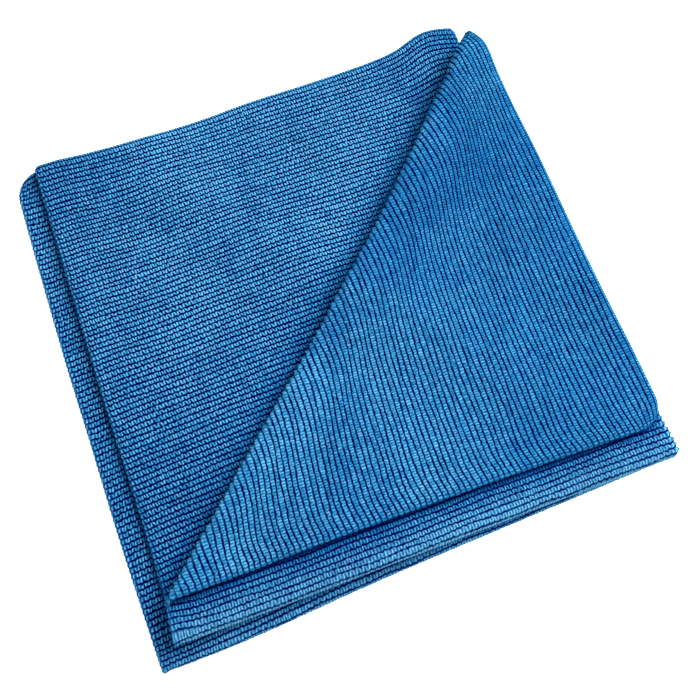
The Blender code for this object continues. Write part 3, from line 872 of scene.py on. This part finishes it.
class KnitMaterial(Nodes):
    """The blue microfibre knit: bright turns of yarn on the ribs as a painted highlight, dark gaps and
    grooves as painted shade, soft fibres.
    """

    def __init__(self):
        super().__init__("blue microfibre knit")
        self.place = self.add("ShaderNodeTexCoord").outputs["Object"]
        self.stitch, self.rib, self.hem = self.attribute("knit")
        # fold stretch with its painted highlight and sheen, painted shade beside edges, and the corner's
        # share
        self.stretched, self.shaded, self.corner = self.attribute("stretch_shade_corner")
        # -1 in the groove before a rib, 0 on its crest, 1 in the groove after it
        self.across = self.times(self.minus(self.rib, self.whole(self.rib)), 2.0)
        # 1 where the cloth was folded over, which is where ribs are counted below 0
        self.folded = self.ramp(self.rib, FOLD_FADE, -FOLD_FADE)
        # the yarn goes to and fro across a rib: the turn's number, its swing and how near the next gap is
        self.turn = self.plus(self.stitch, self.times(self.across, self.folded, LEG_LEAN))
        self.swing = self.calculate("SINE", self.times(self.turn, math.pi))
        self.between = self.calculate("POWER", self.size(self.swing), 2.0)
        self.gap = self.draw_gaps()
        self.turns = self.draw_turns()
        # the pile is painted darker from the crest to the groove, as painted shade
        edge = self.ramp(self.corner, 0.0, 1.0, *GROOVE_EDGES)
        edge = self.plus(edge, self.times(self.stretched, STRETCHED_GROOVE))
        self.crest = self.ramp(self.size(self.across), edge, CREST_EDGE)
        self.put(self.shader.inputs["Base Color"], self.colour(self.light_hem(self.light_pile())))
        self.finish_surface()

    def attribute(self, name):
        """Give the three numbers that the mesh's points keep under a name."""
        node = self.add("ShaderNodeAttribute", attribute_name=name, attribute_type="GEOMETRY")
        return self.split(node.outputs["Vector"])

    def split(self, vector):
        """Give the three parts of a vector."""
        node = self.add("ShaderNodeSeparateXYZ")
        self.put(node.inputs[0], vector)
        return node.outputs[0], node.outputs[1], node.outputs[2]

    def by_side(self, before, after):
        """Give one value where the yarn swings to the groove before the rib, and another after it."""
        return self.ramp(self.swing, SWITCH, -SWITCH, before, after)

    def draw_gaps(self):
        """Draw a dark gap of painted shade at each stitch, by turns before and after the crest, from 0 to 1.
        """
        middle = self.times(self.by_side(-1.0, 1.0), self.ramp(self.folded, 0.0, 1.0, *GAP_PLACES))
        off_middle = self.size(self.minus(self.across, middle))
        width = self.plus(self.by_side(*GAP_WIDTHS), self.times(self.folded, FOLDED_WIDTH))
        open_here = self.ramp(self.calculate("DIVIDE", off_middle, width), 1.0, GAP_CORE)
        chance = self.chance(self.calculate("FLOOR", self.turn), self.whole(self.rib))
        crisp = self.noise(self.place, *CRISP_NOISE)
        return self.times(self.between, open_here, self.by_side(GAP_BEFORE, 1.0),
                          self.ramp(chance, 0.0, FAINT_PART, FAINT_GAP, 1.0),
                          self.ramp(crisp, *CRISP_SPAN, BLURRED_GAP, 1.0),
                          self.fade(self.stretched, STRETCHED_GAP), self.fade(self.corner, CORNER_GAP))

    def draw_turns(self):
        """Draw the yarn's turns between the gaps, painted bright as a highlight, from 0 to 1."""
        # half a rib on, so that a turn's luck differs from its gap's chance
        luck = self.chance(self.whole(self.turn), self.plus(self.whole(self.rib), 0.5))
        return self.times(self.ramp(self.between, TURN_EDGE, 0.0), self.ramp(luck, 0.0, 1.0, FAINT_TURN, 1.0),
                          self.fade(self.corner, CORNER_TURN))

    def vary(self, noise, amount):
        """Give a noise's change round 1, by an amount each way."""
        return self.ramp(self.noise(self.place, *noise), *NOISE_SPAN, 1.0 - amount, 1.0 + amount)

    def add_tones(self, light):
        """Make broad parts of the cloth paler or darker, as painted light and shade."""
        sideways, back, _ = self.split(self.place)
        parts = {"corner": self.corner, "folded": self.folded}
        for part, share_x, share_y, first, last, first_tone, last_tone in TONES:
            along = self.plus(self.times(sideways, share_x), self.times(back, share_y))
            tone = self.ramp(along, first, last, first_tone, last_tone)
            light = self.plus(light, self.times(parts[part], tone))
        band = self.times(self.rest(self.corner), self.rest(self.folded))
        return self.plus(light, self.times(band, BAND_LIGHT))

    def light_pile(self):
        """Give how light the pile is, from 0 in the grooves to 1 on the brightest turns, with painted shade
        in the grooves and gaps and painted highlights on the turns and on the outsides of the folds.
        """
        patch = self.times(self.noise(self.place, *PATCH_NOISE), 0.5)
        patch = self.plus(patch, self.times(self.noise(self.place, *BROAD_NOISE), 0.5))
        light = self.ramp(self.ramp(patch, *PATCH_SPAN), 0.0, 1.0, *PATCH_LIGHT)
        light = self.add_tones(self.plus(light, self.times(self.turns, TURN_LIGHT)))
        light = self.times(light, self.rest(self.gap), self.crest,
                           self.vary(SPECKLE_NOISE, SPECKLE), self.vary(GRAIN_NOISE, GRAIN))
        # a painted highlight on the outsides of the folds
        return self.plus(light, self.times(self.stretched, STRETCHED_FOLD_HIGHLIGHT))

    def light_hem(self, light):
        """Turn the pile's light into the hem's, whose rim has loops and no grooves, and darken it by the
        painted shade beside edges.
        """
        loops = self.plus(self.times(self.turns, HEM_LOOP_LIGHT), HEM_LIGHT)
        rim = self.ramp(self.hem, *HEM_LOOPS, 0.0, HEM_LOOP_SHARE)
        light = self.plus(light, self.times(rim, self.minus(loops, light)))
        return self.times(light, self.rest(self.shaded))

    def colour(self, light):
        """Colour the pile, the painted sheen on the outsides of its folds and the dark line inside the hem.
        """
        # painted sheen, paler and greyer, on the outsides of the folds
        painted_sheen = self.times(self.stretched, self.rest(self.corner), self.crest, PAINTED_SHEEN_SHARE,
                          self.rest(self.shaded))
        colour = self.mix(painted_sheen, self.scale(light, KNIT_COLOURS), PAINTED_SHEEN_COLOUR)
        off_line = self.size(self.minus(self.hem, HEM_LINE))
        line = self.ramp(off_line, *HEM_LINE_FADE, 0.0, HEM_LINE_SHARE)
        return self.mix(line, colour, KNIT_COLOURS[0])

    def bump(self, height, strength, distance, **settings):
        node = self.add("ShaderNodeBump", **settings)
        node.inputs["Strength"].default_value = strength
        node.inputs["Distance"].default_value = distance
        self.put(node.inputs["Height"], height)
        return node

    def finish_surface(self):
        """Give the pile its roughness, sheen and fine relief."""
        fibres = self.noise(self.place, *FIBRE_NOISE)
        self.put(self.shader.inputs["Roughness"], self.ramp(fibres, *FIBRE_SPAN, *ROUGHNESS))
        self.shader.inputs["Specular IOR Level"].default_value = SPECULAR
        self.shader.inputs["Sheen Weight"].default_value = SHEEN
        self.shader.inputs["Sheen Roughness"].default_value = SHEEN_ROUGHNESS
        self.shader.inputs["Sheen Tint"].default_value = SHEEN_TINT
        fine = self.bump(fibres, *FIBRE_BUMP)
        gaps = self.bump(self.gap, *GAP_BUMP, invert=True)
        self.put(gaps.inputs["Normal"], fine.outputs["Normal"])
        self.put(self.shader.inputs["Normal"], gaps.outputs["Normal"])


def floor():
    """A plain pale table, lit a little from below."""
    mesh = bpy.data.meshes.new("floor")
    corners = [(-FLOOR_HALF, -FLOOR_HALF, 0), (FLOOR_HALF, -FLOOR_HALF, 0),
               (FLOOR_HALF, FLOOR_HALF, 0), (-FLOOR_HALF, FLOOR_HALF, 0)]
    mesh.from_pydata(corners, [], [(0, 1, 2, 3)])
    material = bpy.data.materials.new("pale floor")
    material.use_nodes = True
    shader = material.node_tree.nodes["Principled BSDF"]
    shader.inputs["Base Color"].default_value = FLOOR_COLOUR
    shader.inputs["Emission Color"].default_value = FLOOR_GLOW_COLOUR
    shader.inputs["Emission Strength"].default_value = FLOOR_GLOW
    shader.inputs["Roughness"].default_value = FLOOR_ROUGHNESS
    shader.inputs["Specular IOR Level"].default_value = 0.0
    mesh.materials.append(material)
    ground = bpy.data.objects.new("floor", mesh)
    bpy.context.scene.collection.objects.link(ground)


def studio():
    """Even pale surroundings, and one square soft light that points at the cloth's middle."""
    world = bpy.data.worlds.new("studio")
    bpy.context.scene.world = world
    world.use_nodes = True
    background = world.node_tree.nodes["Background"]
    background.inputs["Color"].default_value = SURROUNDINGS_COLOUR
    background.inputs["Strength"].default_value = SURROUNDINGS_STRENGTH
    data = bpy.data.lights.new("soft light", "AREA")
    data.shape = "SQUARE"
    data.size = LIGHT_SIZE
    data.energy = LIGHT_WATTS
    light = bpy.data.objects.new("soft light", data)
    light.location = LIGHT_PLACE
    light.rotation_mode = "QUATERNION"
    light.rotation_quaternion = (-Vector(LIGHT_PLACE)).to_track_quat("-Z", "Y")
    bpy.context.scene.collection.objects.link(light)
    bpy.context.scene.view_settings.view_transform = "Standard"


def camera():
    """The camera at the photograph's viewing angle."""
    away = Vector((math.sin(CAMERA_AZIMUTH) * math.cos(CAMERA_ELEVATION),
                   -math.cos(CAMERA_AZIMUTH) * math.cos(CAMERA_ELEVATION), math.sin(CAMERA_ELEVATION)))
    right = (-away).cross(Vector((0, 0, 1))).normalized()
    up = right.cross(-away)
    data = bpy.data.cameras.new("camera")
    data.sensor_width = CAMERA_SENSOR
    data.lens = CAMERA_LENS
    data.clip_start = CAMERA_NEAREST
    eye = bpy.data.objects.new("camera", data)
    turned = Matrix((right, up, away)).transposed().to_4x4()
    eye.matrix_world = Matrix.Translation(Vector(CAMERA_TARGET) + away * CAMERA_DISTANCE) @ turned
    bpy.context.scene.collection.objects.link(eye)
    bpy.context.scene.camera = eye


def main():
    cloth = knit_sheet()
    cloth.data.materials.append(KnitMaterial().material)
    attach(cloth, "root")
    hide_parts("cloth")
    floor()
    studio()
    camera()


main()
